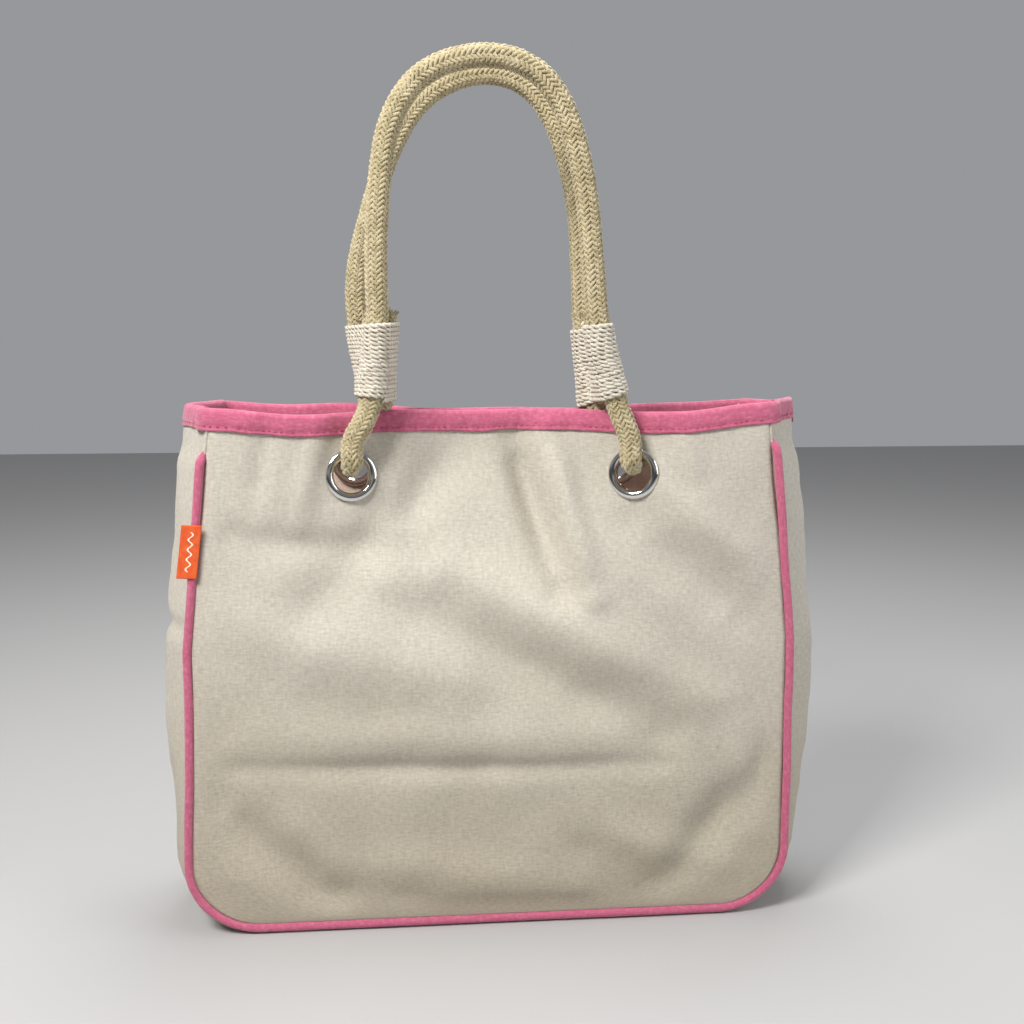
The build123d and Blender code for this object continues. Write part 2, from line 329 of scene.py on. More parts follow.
def cottonYarn(name, look):
    # fibrous yarn: colour drift along the rope, soft dirt, fine fibre bump
    material, tree, shader = newMaterial(name)
    coords = addNode(tree, "ShaderNodeTexCoord").outputs["Object"]

    def noiseAt(scale, detail=2.0):
        node = addNode(tree, "ShaderNodeTexNoise", Scale=scale, Detail=detail)
        tree.links.new(coords, node.inputs["Vector"])
        return node.outputs[0]

    fibre, blot, drift = noiseAt(look["fibres"], 4.0), noiseAt(130, 3.0), noiseAt(22)
    ramp = colourRamp(tree, [(0.28, look["dark"]), (0.52, look["mid"]), (0.78, look["light"])])
    mixed = mathNode(tree, "ADD", mathNode(tree, "MULTIPLY", fibre, 0.55),
                     mathNode(tree, "MULTIPLY", blot, 0.45))
    tree.links.new(mixed, ramp.inputs[0])
    tone = mixColour(tree, "MULTIPLY", 0.5, ramp.outputs[0],
                     mixColour(tree, "MIX", drift, look["driftLow"], (1, 1, 1)))
    tree.links.new(tone, shader.inputs["Base Color"])
    setInputs(shader, {"Roughness": 0.88, "Sheen Weight": look["sheen"], "Sheen Roughness": 0.45,
                       "Specular IOR Level": 0.2})
    addBump(tree, shader, fibre, look["bump"], 0.0004)
    return material


canvasLook = {
    "threads": 420, "slubStretch": 3.2, "slubScale": 230,
    "fleckScale": 760, "fleckAt": 0.67, "fleckMix": 0.34,
    "dark": srgb(184, 177, 162), "mid": srgb(209, 203, 190), "light": srgb(229, 225, 214),
    "driftLow": (0.92, 0.91, 0.90), "driftHigh": (1, 1, 1), "gaps": 0.20, "gapColour": srgb(192, 185, 171),
    "fleck": srgb(146, 130, 108), "roughness": 0.88, "sheen": 0.12,
    "weaveBump": 0.5, "slubBump": 0.9, "bump": 0.65,
}
liningLook = dict(canvasLook, threads=300, dark=srgb(208, 184, 168), mid=srgb(226, 204, 189),
                  light=srgb(238, 222, 209), fleckMix=0.15, slubBump=0.5)
trimLook = dict(canvasLook, threads=380, slubScale=260, slubStretch=2, fleckMix=0.0,
                dark=srgb(184, 84, 114), mid=srgb(204, 108, 138), light=srgb(226, 142, 168),
                gapColour=srgb(180, 82, 114), driftLow=(0.93, 0.90, 0.92), gaps=0.25, sheen=0.35,
                slubBump=0.45, bump=0.45)
labelLook = dict(canvasLook, mark=srgb(240, 226, 206), threads=620, slubScale=240, slubStretch=1,
                 fleckMix=0.0, dark=srgb(214, 84, 34), mid=srgb(236, 104, 46), light=srgb(246, 128, 66),
                 gapColour=srgb(196, 74, 30), driftLow=(0.95, 0.93, 0.9), gaps=0.3, sheen=0.15,
                 slubBump=0.2, bump=0.4, roughness=0.62)
ropeLook = {"fibres": 900, "dark": srgb(146, 132, 98), "mid": srgb(190, 177, 142),
            "light": srgb(216, 206, 176), "driftLow": (0.86, 0.84, 0.80), "sheen": 0.3, "bump": 0.6}
twineLook = {"fibres": 1300, "dark": srgb(178, 168, 148), "mid": srgb(216, 209, 194),
             "light": srgb(234, 230, 218), "driftLow": (0.92, 0.90, 0.89), "sheen": 0.3, "bump": 0.5}

# the canvas gets painted shade, darker and yellower towards its foot
canvasCloth = wovenCloth("naturalCanvas", dict(canvasLook, toe=(0.80, 0.765, 0.70)))
liningCloth = wovenCloth("liningCotton", liningLook)
trimCloth = wovenCloth("pinkTape", trimLook)
labelCloth = wovenCloth("labelWeave", labelLook)
ropeYarn = cottonYarn("tanRopeYarn", ropeLook)
# the rope's core is coloured much darker than its yarns: painted shade in the gaps between the yarns
shadedRopeCoreYarn = cottonYarn("tanRopeCorePaintedShade", dict(ropeLook, dark=srgb(96, 80, 50), mid=srgb(118, 100, 66),
                                              light=srgb(140, 122, 84)))
twineYarn = cottonYarn("whiteTwine", twineLook)
pinkThread = cottonYarn("pinkThread", dict(twineLook, dark=srgb(166, 64, 96), mid=srgb(190, 84, 116),
                                           light=srgb(210, 106, 136)))
nickel = metal("polishedNickel", (0.76, 0.75, 0.73), 0.07)
print("materials made")


def newObject(name, data):
    holder = bpy.data.objects.new(name, data)
    bpy.context.scene.collection.objects.link(holder)
    return holder


# pieces of cloth
def finishPiece(name, bm, material, slot, outward=None):
    mesh = bpy.data.meshes.new(name)
    bmesh.ops.recalc_face_normals(bm, faces=bm.faces)
    if outward:
        vote = sum(face.normal.dot(outward(face.calc_center_median())) * face.calc_area()
                   for face in bm.faces)
        if vote < 0:
            bmesh.ops.reverse_faces(bm, faces=bm.faces)
    bm.to_mesh(mesh)
    bm.free()
    for polygon in mesh.polygons:
        polygon.use_smooth = True
    mesh.materials.append(material)
    piece = newObject(name, mesh)
    return piece


def meshOf(holder):
    # what Blender makes of a curve or of an object's modifiers
    graph = bpy.context.evaluated_depsgraph_get()
    return bpy.data.meshes.new_from_object(holder.evaluated_get(graph))


def clothGrid(name, columns, rows, place, clothSize, material, slot, thick, outward):
    # a grid laid on the surface place(u, v), with UVs in metres of cloth, thickened away from outward
    bm = bmesh.new()
    bmesh.ops.create_grid(bm, x_segments=columns, y_segments=rows, size=1.0)
    layer = bm.loops.layers.uv.new("cloth")
    for face in bm.faces:
        for loop in face.loops:
            u, v = loop.vert.co.x, loop.vert.co.y
            loop[layer].uv = (u * clothSize[0] / 2, v * clothSize[1] / 2)
    for vert in bm.verts:
        vert.co = place(vert.co.x, (vert.co.y + 1) / 2)
    piece = finishPiece(name, bm, material, slot, outward)
    solid = piece.modifiers.new("ply", "SOLIDIFY")
    solid.thickness = thick
    solid.offset = -1
    solid.use_even_offset = False
    applyModifiers(piece)
    return piece


def applyModifiers(piece):
    mesh = meshOf(piece)
    old = piece.data
    piece.modifiers.clear()
    piece.data = mesh
    mesh.name = piece.name
    bpy.data.meshes.remove(old)


# front and back walls: canvas and lining
wall = {"columns": 150, "rows": 120, "canvas": 0.0014, "lining": 0.0008, "air": 0.0003, "cornerRows": 0.16,
        "belowRim": 0.0045, "cutBack": 0.006, "cutBelowRim": 0.0125, "liningIn": 0.002, "size": (0.38, 0.34)}


def wallHeight(v):
    # rows bunch together round the lower corners
    low, corner = bag["panelLow"], bag["corner"]
    top = bag["rim"] - wall["belowRim"]
    if v < wall["cornerRows"]:
        return low + corner * (1 - math.cos(v / wall["cornerRows"] * math.pi / 2))
    t = (v - wall["cornerRows"]) / (1 - wall["cornerRows"])
    return low + corner + (top - low - corner) * t


def underTape(z):
    # the walls are cut back where the tape covers their corners
    return smooth((z - bag["rim"] + wall["cutBelowRim"]) / 0.003)


def makeWall(side, word):
    def canvasPlace(u, v):
        z = wallHeight(v)
        return wallPoint(side, u * (seamHalf(z) - wall["cutBack"] * underTape(z)), z, 0.0)

    def liningPlace(u, v):
        z = wallHeight(v)
        half = seamHalf(z) - wall["liningIn"] - wall["cutBack"] * underTape(z)
        return wallPoint(side, u * half, z, -wall["canvas"] - wall["air"])

    body = f"{word}_wall"
    for name, place, cloth, thick, slot in (("panel", canvasPlace, canvasCloth, wall["canvas"], "canvas"),
                                            ("lining", liningPlace, liningCloth, wall["lining"], "lining")):
        piece = clothGrid(f"{word}{name.capitalize()}", wall["columns"], wall["rows"], place, wall["size"],
                          cloth, slot, thick, lambda place: Vector((0, side, 0)))
        cutHoles(piece, side)
        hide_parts(f"{word}_{name}")
        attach(piece, body)


# grommets
grommet = {"x": 0.0904, "z": 0.3002, "outer": 0.0167, "inner": 0.0112, "rise": 0.0022, "through": -0.0048,
           "holeMargin": 0.0012, "segments": 72}


def grommetMatrix(side, hand):
    x, z, step = hand * grommet["x"], grommet["z"], 0.006
    across = wallPoint(side, x + step, z, 0) - wallPoint(side, x - step, z, 0)
    upward = wallPoint(side, x, z + step, 0) - wallPoint(side, x, z - step, 0)
    normal = (across.cross(upward) * -side).normalized()
    across = across.normalized() * -side
    upward = normal.cross(across)
    turn = Matrix((across, upward, normal)).transposed().to_4x4()
    return Matrix.Translation(wallPoint(side, x, z, 0)) @ turn


def cutHoles(piece, side):
    bm = bmesh.new()
    bm.from_mesh(piece.data)
    gone = []
    for hand in (-1, 1):
        back = grommetMatrix(side, hand).inverted()
        for face in bm.faces:
            spot = back @ face.calc_center_median()
            if abs(spot.z) < 0.02 and math.hypot(spot.x, spot.y) < grommet["inner"] + grommet["holeMargin"]:
                gone.append(face)
    bmesh.ops.delete(bm, geom=gone, context="FACES")
    bm.to_mesh(piece.data)
    bm.free()


def turnedPiece(name, profile, closed, steps, matrix, body, nodes):
    # profile (radius, height) pairs spun round the piece's own axis
    bm = bmesh.new()
    verts = [bm.verts.new((r, 0, h)) for r, h in profile]
    ahead = verts[1:] + verts[:1] if closed else verts[1:]
    edges = [bm.edges.new((a, b)) for a, b in zip(verts, ahead)]
    bmesh.ops.spin(bm, geom=verts + edges, cent=(0, 0, 0), axis=(0, 0, 1), angle=math.tau, steps=steps,
                   use_merge=True)
    bmesh.ops.remove_doubles(bm, verts=bm.verts, dist=1e-6)
    bmesh.ops.transform(bm, matrix=matrix, verts=bm.verts)
    piece = finishPiece(name, bm, nickel, "nickel")
    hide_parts(*nodes)
    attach(piece, body)


def arcPoints(cx, cy, radius, start, end, count, squash=1.0):
    return [(cx + radius * math.cos(math.radians(start + (end - start) * k / count)),
             cy + squash * radius * math.sin(math.radians(start + (end - start) * k / count)))
            for k in range(count + 1)]


def makeGrommets():
    inner, outer, rise = grommet["inner"], grommet["outer"], grommet["rise"]
    wide = (outer - inner) / 2
    middle = (outer + inner) / 2
    through = grommet["through"]
    eyelet = arcPoints(middle, 0.0006, wide, 0, 180, 14, rise / wide)
    eyelet += [(inner, through), (inner + 0.0004, through - 0.0003), (inner + 0.0008, through),
               (inner + 0.0008, 0.0004)]
    washer = arcPoints(middle, through + 0.0004, wide - 0.0004, 360, 180, 10, 0.42)
    washer += [(inner + 0.0010, through + 0.0014), (outer - 0.0010, through + 0.0014)]
    for side, word in sides:
        for hand, place in hands:
            for kind, profile in (("eyelet", eyelet), ("washer", washer)):
                turnedPiece(f"{word}{place.capitalize()}{kind.capitalize()}", profile, True,
                            grommet["segments"], grommetMatrix(side, hand), f"{word}_wall",
                            [f"{word}_{place}_{kind}"])


# gusset: one strip down the left side, under the base and up the right side
gusset = {"columns": 360, "rows": 16, "gap": 0.0030, "foldLeft": 0.0220, "foldRight": 0.0290,
          "notch": 0.0035, "notchHeight": 0.192, "beyond": 0.003, "foldAtBase": 0.62, "sewnFrom": 0.300,
          "canvas": 0.0014, "lining": 0.0008, "liningIn": 0.0018, "length": 1.03, "size": (1.05, 0.05),
          "startAt": 0.0039, "used": 0.9922, "cutBack": 0.12}


def gussetStation(s):
    # s from 0 at the left of the mouth to 1 at the right:
    # point, outward direction, how far the fold stands out, hand and height
    beyond = gusset["beyond"]
    corner = bag["corner"] + beyond
    side, base = bag["rim"] - corner, bag["seamLow"] + beyond - corner
    arc = corner * math.pi / 2
    total = 2 * (side + arc + base)
    run = s * total
    hand = -1 if run < total / 2 else 1
    run = run if hand < 0 else total - run
    fold = gusset["foldLeft"] if hand < 0 else gusset["foldRight"]
    if run < side:
        z = bag["rim"] - run
        up = (z - corner) / side
        shape = min(1, gusset["foldAtBase"] + 1.1 * up) * (1 - 0.04 * up)
        return Vector((hand * (seamHalf(z) + beyond), 0, z)), Vector((hand, 0, 0)), fold * shape, hand, z
    run -= side
    edge = bag["seamLow"] + beyond
    if run < arc:
        turn = run / corner
        point = Vector((hand * (edge - corner + corner * math.cos(turn)), 0,
                        corner - corner * math.sin(turn)))
        away = Vector((hand * math.cos(turn), 0, -math.sin(turn)))
        return point, away, fold * gusset["foldAtBase"] * (1 - run / arc) ** 0.7, hand, point.z
    run -= arc
    return Vector((hand * (base - run), 0, 0)), Vector((0, 0, -1)), 0.0, hand, 0.0


def gussetPoint(s, t, depth):
    # t from -1 at the front seam to 1 at the back seam
    point, away, fold, hand, z = gussetStation(s)
    # above the piping the strip is sewn straight to the panels
    shut = 1 - 0.85 * smooth((z - gusset["sewnFrom"]) / 0.016)
    half = seamDepth(point.z) - gusset["gap"] * shut - 0.0010 * (1 - shut)
    point = point - away * gusset["beyond"] * (1 - shut)
    up = smooth((z - 0.12) / 0.2)
    sharp = 2.1 - 0.95 * up
    rise = 1 - abs(t) ** sharp
    lift = liftAt(-1 if t < 0 else 1, hand * 0.19, z)
    wave = 0.0
    if z > 0.004:
        near = 1 - abs(t) ** 4
        wave = near * (0.0022 * noise.noise(Vector((hand * 3, z * 21, t * 1.3))) +
                       0.0007 * noise.noise(Vector((hand * 9, z * 70, t * 4))))
        creased = math.exp(-((z - gusset["notchHeight"] + 0.01 * hand) / 0.006) ** 2)
        wave -= near * gusset["notch"] * creased * (hand < 0)
        wave *= smooth(z / 0.04)
    out = fold * rise + wave - depth
    place = point + away * out
    return Vector((sagged(place.x, place.z), t * half, max(place.z, depth) + lift))


def makeGusset():
    for word, low, high, end in (("front", -1.0, 0.0, -1), ("back", 0.0, 1.0, 1)):
        for name, depth, cloth, thick, slot in (
                ("Gusset", 0.0, canvasCloth, gusset["canvas"], "canvas"),
                ("GussetLining", gusset["liningIn"], liningCloth, gusset["lining"], "lining")):
            def place(u, v, low=low, high=high, depth=depth):
                s = (u + 1) / 2 * gusset["used"] + gusset["startAt"]
                back = gusset["cutBack"] * underTape(gussetStation(s)[0].z)
                return gussetPoint(s, (low + (high - low) * v) * (1 - back), depth)

            piece = clothGrid(word + name, gusset["columns"], gusset["rows"], place, gusset["size"], cloth,
                              slot, thick, lambda place: Vector((place.x, 0, place.z - 0.1)))
            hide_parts("gusset" if name == "Gusset" else "gusset_lining")
            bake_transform(piece)


makeWall(-1, "front")
makeWall(1, "back")
makeGrommets()
makeGusset()
print("cloth walls made")

# tape folded over the mouth
tape = {"height": 0.0137, "out": 0.0015, "turn": 0.0027, "stitchUp": 0.0027, "thick": 0.0009, "rows": 26,
        "pitch": 0.0036, "stitchHalf": 0.36, "thread": 0.00036, "proud": 0.0003, "flat": 0.42,
        "corner": 0.1640, "lap": 0.0240, "cutWidth": 0.034, "sideWidth": 0.047, "clear": 0.0003}
layers = wall["canvas"] + wall["lining"] + 2 * wall["air"]


def tapeSection(q):
    # round the section from the outer lower edge, over the mouth, to the inner lower edge:
    # drop below the rim, distance out from the wall and how far up the flat it is
    flat, inward = tape["flat"], -(layers + tape["out"])
    middle, radius = (tape["out"] + inward) / 2, (tape["out"] - inward) / 2
    if q < flat or q > 1 - flat:
        t = q / flat if q < flat else (1 - q) / flat
        drop = tape["height"] + (tape["turn"] - tape["height"]) * t
        puff = 0.00035 * math.sin(math.pi * min(max((t - 0.2) / 0.8, 0), 1))
        dip = -0.0005 * math.exp(-(((tape["height"] - drop) - tape["stitchUp"]) / 0.0012) ** 2)
        out = tape["out"] + puff + dip
        return drop, (out if q < flat else inward - (out - tape["out"])), t
    angle = (q - flat) / (1 - 2 * flat) * math.pi
    return tape["turn"] - tape["turn"] * math.sin(angle), middle + radius * math.cos(angle), 1.0


def makeTape(name, columns, low, high, base, width, replaced, seed, mover):
    def place(u, v):
        along = low + (high - low) * (u + 1) / 2
        drop, out, t = tapeSection(v)
        metres = along * width
        pucker = 0.0009 * noise.noise(Vector((metres * 170, seed, v * 2)))
        pucker *= math.exp(-((t - 0.25) / 0.28) ** 2)
        pucker += 0.0005 * noise.noise(Vector((metres * 46, seed + 5, v * 2)))
        beat = math.cos(math.tau * metres / tape["pitch"])
        pucker -= 0.00013 * beat * math.exp(-((t - 0.2) / 0.09) ** 2)
        edge = 0.0006 * noise.noise(Vector((metres * 55, seed + 2, 0))) * (1 - t)
        return base(along, drop + edge, out + (pucker if v < 0.5 else -pucker))

    piece = clothGrid(name, columns, tape["rows"], place, (width * (high - low), tape["cutWidth"]), trimCloth,
                      "pink_trim", tape["thick"], lambda spot: Vector((0, 0, spot.z - bag["rim"] + 0.004)))
    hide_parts(*replaced)
    mover(piece)
    # one row of lock stitches just above the lower edge, outside and inside
    bm = bmesh.new()
    count = int(abs(high - low) * width / tape["pitch"])
    half = tape["pitch"] * tape["stitchHalf"]
    reach = half / width
    row = tape["flat"] * tape["stitchUp"] / (tape["height"] - tape["turn"])
    size = Matrix.Diagonal((half, tape["thread"], tape["thread"], 1))
    for k in range(count):
        along = low + (high - low) * (k + 0.5) / count
        for q in (row, 1 - row):
            drop, out, t = tapeSection(q)
            out += tape["proud"] if q < 0.5 else -tape["proud"]
            a, b = base(along - reach, drop, out), base(along + reach, drop, out)
            turn = (b - a).normalized().to_track_quat("X", "Z").to_matrix().to_4x4()
            made = bmesh.ops.create_icosphere(bm, subdivisions=1, radius=1.0)
            bmesh.ops.transform(bm, matrix=Matrix.Translation((a + b) / 2) @ turn @ size, verts=made["verts"])
    stitches = finishPiece(name + "Stitches", bm, pinkThread, "pink_trim")
    mover(stitches)


def cornerLap(side, x, drop, out):
    # past the side seam the tape bends round the corner and lies on the gusset
    hand = 1 if x > 0 else -1
    t = (abs(x) - tape["corner"]) / tape["lap"]
    z = bag["rim"] - drop
    s = drop / gusset["length"]
    begin = wallPoint(side, hand * tape["corner"], z, 0)
    finish = gussetPoint(s if hand < 0 else 1 - s, side * 0.72, 0)
    corner = Vector((hand * (seamHalf(z) + 0.0065), side * (wallDepth(side, tape["corner"], z) + 0.0006),
                     (begin.z + finish.z) / 2))
    point = begin * (1 - t) ** 2 + corner * 2 * t * (1 - t) + finish * t ** 2
    ahead = (corner - begin) * (1 - t) + (finish - corner) * t
    away = Vector((ahead.y * hand * side, -ahead.x * hand * side, 0)).normalized()
    if away.x * hand + away.y * side < 0:
        away = -away
    narrow = 1 - 0.4 * math.sin(math.pi * min(t, 1)) if out < 0 else 1
    return point + away * (out * narrow + 0.0002 * t + 0.0005 * math.sin(math.pi * t))


def makeBindings():
    reach = tape["corner"] + tape["lap"]
    for side, word in sides:
        def base(x, drop, out, side=side):
            if abs(x) > tape["corner"]:
                return cornerLap(side, x, drop, out)
            return wallPoint(side, x, bag["rim"] - drop, out)

        makeTape(f"{word}Binding", 420, -reach, reach, base, 1.0, [f"{word}_binding"], side * 4.0,
                 lambda piece, word=word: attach(piece, f"{word}_wall"))
    for hand, place in hands:
        for end, word in sides:
            def base(t, drop, out, hand=hand, end=end):
                s = drop / gusset["length"]
                return gussetPoint(s if hand < 0 else 1 - s, end * (1.0 - t), tape["clear"] - out)

            def mover(piece, word=word, end=end):
                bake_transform(piece)

            makeTape(f"{place}{word.capitalize()}Binding", 70, 0.20, 1.0, base, tape["sideWidth"],
                     [f"{place}_binding"], hand * 7.0 + end, mover)


# ropes, cords and piping follow a smooth line
def smoothLine(points, step):
    curve = bpy.data.curves.new("route", "CURVE")
    curve.dimensions = "3D"
    spline = curve.splines.new("NURBS")
    spline.points.add(len(points) - 1)
    for target, point in zip(spline.points, points):
        target.co = (*point, 1)
    spline.order_u = 3
    spline.use_endpoint_u = True
    curve.resolution_u = 24
    holder = newObject("route", curve)
    mesh = meshOf(holder)
    line = [v.co.copy() for v in mesh.vertices]
    bpy.data.objects.remove(holder)
    bpy.data.curves.remove(curve)
    bpy.data.meshes.remove(mesh)
    return evenly(line, step)


def evenly(line, step):
    lengths = [0.0]
    for a, b in zip(line, line[1:]):
        lengths.append(lengths[-1] + (b - a).length)
    count = max(2, round(lengths[-1] / step))
    out, at = [], 0
    for k in range(count + 1):
        want = lengths[-1] * k / count
        while at < len(line) - 2 and lengths[at + 1] < want:
            at += 1
        part = (want - lengths[at]) / max(lengths[at + 1] - lengths[at], 1e-9)
        out.append(line[at].lerp(line[at + 1], min(max(part, 0), 1)))
    return out


def lineFrames(line, start):
    # a pair of cross directions that turns as little as it can along the line
    frames, across = [], Vector(start)
    for k, point in enumerate(line):
        ahead = (line[min(k + 1, len(line) - 1)] - line[max(k - 1, 0)]).normalized()
        across = (across - ahead * across.dot(ahead)).normalized()
        frames.append((across.copy(), ahead.cross(across)))
    return frames


def yarnMesh(name, yarns, radius, roundness, material, radii=None):
    # each yarn is a list of points; all become one mesh of round yarns
    curve = bpy.data.curves.new(name, "CURVE")
    curve.dimensions = "3D"
    curve.bevel_depth = radius
    curve.bevel_resolution = roundness
    curve.use_fill_caps = True
    for yarn in yarns:
        spline = curve.splines.new("POLY")
        spline.points.add(len(yarn) - 1)
        for k, point in enumerate(yarn):
            spline.points[k].co = (*point, 1)
            spline.points[k].radius = radii[k] if radii else 1.0
    holder = newObject(name, curve)
    mesh = meshOf(holder)
    bpy.data.objects.remove(holder)
    bpy.data.curves.remove(curve)
    mesh.name = name
    for polygon in mesh.polygons:
        polygon.use_smooth = True
    mesh.materials.clear()
    mesh.materials.append(material)
    piece = newObject(name, mesh)
    return piece


# piping round each panel
piping = {"radius": 0.0028, "reach": 0.0030, "top": {-1: (0.308, 0.311), 1: (0.306, 0.312)}, "step": 0.002,
          "tuckedEnd": 0.007, "tuck": 0.0052, "lowest": 0.0034}


def makePiping():
    reach, corner = piping["reach"], bag["corner"] + piping["reach"]
    middle = bag["panelLow"] + bag["corner"]     # height of the lower corners' centres
    base = seamHalf(middle) - bag["corner"]
    for side, word in sides:
        legs = []
        for hand, top in zip((-1, 1), piping["top"][side]):
            top += piping["tuckedEnd"]
            rise = top - middle
            count = int(rise / piping["step"])
            leg = []
            for k in range(count + 1):
                z = top - rise * k / count
                leg.append((hand * (seamHalf(z) + reach), z))
            for k in range(1, 31):
                turn = k / 30 * math.pi / 2
                leg.append((hand * (base + corner * math.cos(turn)), middle - corner * math.sin(turn)))
            legs.append(leg)
        foot = [(x, legs[0][-1][1]) for x in (-0.1, -0.05, 0, 0.05, 0.1)]
        points = []
        for x, z in legs[0] + foot + legs[1][::-1]:
            up = smooth((z - 0.27) / 0.05)
            sway = 0.0005 * noise.noise(Vector((x * 25, z * 25, side * 2))) * (1 - up)
            hold = reach if z > 0.05 else 0
            tuck = smooth((z - (piping["top"][side][0 if x < 0 else 1] - 0.004)) / 0.013)
            points.append(Vector((sagged(x, z) + sway - math.copysign(tuck * hold, x),
                                  side * (seamDepth(z) - 0.0002 + sway - piping["tuck"] * tuck),
                                  max(z, piping["lowest"]) + liftAt(side, x, z))))
        points = evenly(points, piping["step"])
        total = len(points)
        radii = [min(1, 0.15 + min(k, total - 1 - k) / 5) * (1 + 0.035 * noise.noise(p * 160))
                 for k, p in enumerate(points)]
        piece = yarnMesh(f"{word}Piping", [points], piping["radius"], 3, trimCloth, radii)
        layer = piece.data.uv_layers[0]
        layer.name = "cloth"
        for uv in layer.data:
            uv.uv = (uv.uv[0] * 0.97, uv.uv[1] * 0.02)
        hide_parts(f"{word}_piping")
        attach(piece, f"{word}_wall")


# rope handles
rope = {"radius": 0.0076, "ways": 12, "lay": 0.040, "yarn": 0.00124, "wave": 0.00072, "core": 0.0056,
        "step": 0.0014, "seat": 0.0036, "squeeze": 0.84,
        "handle": 0.0366, "tail": 0.0209, "loopInner": 0.0149}
# each handle's way over its arch, as (x, z)
routes = {
    -1: [(-0.0765, 0.3455), (-0.0715, 0.390), (-0.0725, 0.438), (-0.0695, 0.481), (-0.0635, 0.516),
         (-0.0445, 0.544), (-0.0105, 0.5555), (0.0215, 0.5510), (0.0425, 0.530), (0.0560, 0.487),
         (0.0618, 0.436), (0.0655, 0.390), (0.0775, 0.3455)],
    1: [(-0.0780, 0.3455), (-0.0865, 0.388), (-0.0895, 0.425), (-0.0775, 0.470), (-0.0640, 0.510),
        (-0.0425, 0.5445), (-0.0070, 0.5610), (0.0265, 0.5555), (0.0480, 0.529), (0.0620, 0.480),
        (0.0650, 0.436), (0.0670, 0.390), (0.0750, 0.3455)],
}
# for each side and hand: x of the cut tail's top, and x where the inner leg crosses the mouth
tails = {(-1, -1): (-0.0672, -0.0705), (-1, 1): (0.0655, 0.0735),
         (1, -1): (-0.0760, -0.0800), (1, 1): (0.0640, 0.0690)}


def ropeEnd(side, hand):
    # from the cut tail down through the whipping, over the mouth and through the grommet to the outside
    matrix = grommetMatrix(side, hand)
    top, mouth = tails[(side, hand)]
    inward, outward = -0.0120, 0.0112
    base = routes[side][0] if hand < 0 else routes[side][-1]
    points = [Vector((top, side * rope["tail"], 0.4005)),
              Vector((top * 0.6 + mouth * 0.4, side * rope["tail"], 0.385)),
              Vector((mouth, side * (rope["tail"] - 0.001), 0.360)),
              Vector((mouth, side * (rope["loopInner"] - 0.0026), 0.342)),
              Vector((mouth * 0.72 + hand * 0.090 * 0.28, side * (rope["loopInner"] - 0.0008), 0.330))]
    seat = rope["seat"]
    points += [matrix @ Vector((0, 0.020, inward)), matrix @ Vector((0, seat + 0.003, inward)),
               matrix @ Vector((0, seat, outward)), matrix @ Vector((0, 0.020, outward))]
    points.append(Vector((base[0] * 0.62 + hand * 0.090 * 0.38, side * (rope["handle"] + 0.003), 0.334)))
    return points


def ropeRoute(side):
    arch = [Vector((x, side * rope["handle"], z)) for x, z in routes[side]]
    return ropeEnd(side, -1) + arch + ropeEnd(side, 1)[::-1]


def squeezeAt(point, side):
    # how much of its thickness the rope keeps, passing the tight eyelets
    gap = min((point - grommetMatrix(side, hand).translation).length for hand in (-1, 1))
    return rope["squeeze"] + (1 - rope["squeeze"]) * smooth((gap - 0.006) / 0.012)


def braid(line, frames, ways, lay, radius, wave, kept):
    # yarns laid two over, two under, half of them each way round
    spacing = (line[1] - line[0]).length
    yarns = []
    for way in (1, -1):
        for k in range(ways):
            yarn = []
            for n, (point, (across, up)) in enumerate(zip(line, frames)):
                turn = n * spacing / lay * math.tau
                crossing = turn / math.tau * 2 * ways
                beat = math.cos(math.tau * (crossing + 2 * k * way - 0.5) / 4) * way
                angle = k * math.tau / ways + way * turn
                out = (radius + wave * beat) * kept[n]
                yarn.append(point + across * (out * math.cos(angle)) + up * (out * math.sin(angle)))
            yarns.append(yarn)
    return yarns


fray = {"fibres": 90, "radius": 0.0004, "spread": 0.0064, "rooted": 0.0020, "short": 0.0020, "long": 0.0050,
        "sway": 0.0020}


def frayEnds(word, line):
    # a tuft of loose fibres on each cut end
    yarns = []
    for tip, inner in ((line[0], line[3]), (line[-1], line[-4])):
        up = (tip - inner).normalized()
        across = up.orthogonal().normalized()
        beyond = up.cross(across)
        for k in range(fray["fibres"]):
            out = math.sqrt((k + 0.5) / fray["fibres"])
            angle = k * math.pi * (3 - math.sqrt(5))
            radial = (across * math.cos(angle) + beyond * math.sin(angle)) * fray["spread"] * out
            sway = noise.noise_vector(tip * 90 + Vector((k * 0.37, 0, 0)))
            foot = tip + radial - up * fray["rooted"]
            rise = fray["short"] + fray["long"] * (0.5 + 0.5 * sway.z) * (1.2 - out * 0.6)
            end = foot + up * rise + radial * 0.35 + sway * fray["sway"]
            yarns.append([foot, foot.lerp(end, 0.5) + sway * 0.0008, end])
    return yarnMesh(f"{word}RopeFray", yarns, fray["radius"], 0, ropeYarn)


def makeRopes():
    lines = {}
    for side, word in sides:
        line = smoothLine(ropeRoute(side), rope["step"])
        frames = lineFrames(line, (0, 1, 0))
        kept = [squeezeAt(point, side) for point in line]
        yarns = braid(line, frames, rope["ways"], rope["lay"], rope["radius"] - rope["yarn"] - rope["wave"],
                      rope["wave"], kept)
        piece = yarnMesh(f"{word}Rope", yarns, rope["yarn"], 0, ropeYarn)
        core = yarnMesh(f"{word}RopeCore", [line], rope["core"], 3, shadedRopeCoreYarn, kept)
        stretches = [f"{word}_{hand}_rope_{kind}" for hand in ("left", "right") for kind in ("loop", "tail")]
        for part in (piece, core):
            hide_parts(f"{word}_handle_rope", *stretches)
            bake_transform(part)
        tuft = frayEnds(word, line)
        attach(tuft, f"{word}_handle")
        lines[side] = line
    return lines


